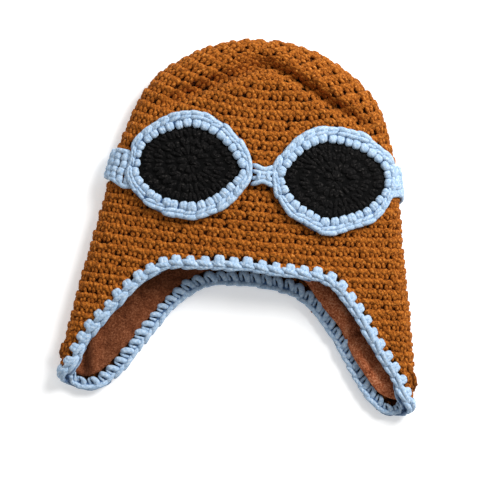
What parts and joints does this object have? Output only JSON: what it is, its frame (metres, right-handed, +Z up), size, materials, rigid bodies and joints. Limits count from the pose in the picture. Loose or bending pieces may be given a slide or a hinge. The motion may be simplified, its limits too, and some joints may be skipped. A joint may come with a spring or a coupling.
{
  "type": "crocheted aviator hat",
  "caption": "Lined crocheted aviator hat with ear flaps and goggles, lying flat on its back, its mouth and hollow open",
  "frame": {"origin": "centre of the hat's bounding box, on the surface that the hat lies on", "axes": "+Z up from the surface, out of the front of the hat; +Y from the ear flaps to the crown; +X to the right of the front as seen from above"},
  "size_m": [0.2594, 0.2672, 0.042],
  "materials": {
    "rust_yarn": "bulky rust brown yarn in single crochet",
    "brown_fleece": "short napped dark brown fleece",
    "blue_yarn": "bulky light blue yarn in single crochet and chain",
    "black_yarn": "black yarn crocheted in rounds"
  },
  "bodies": {
    "root": {"knit_body": "rust_yarn", "fleece_lining": "brown_fleece", "edge_trim": "blue_yarn", "left_lens": "black_yarn", "right_lens": "black_yarn", "left_goggle_frame": "blue_yarn", "right_goggle_frame": "blue_yarn", "nose_bridge": "blue_yarn", "head_strap": "blue_yarn"}
  },
  "joints": []
}
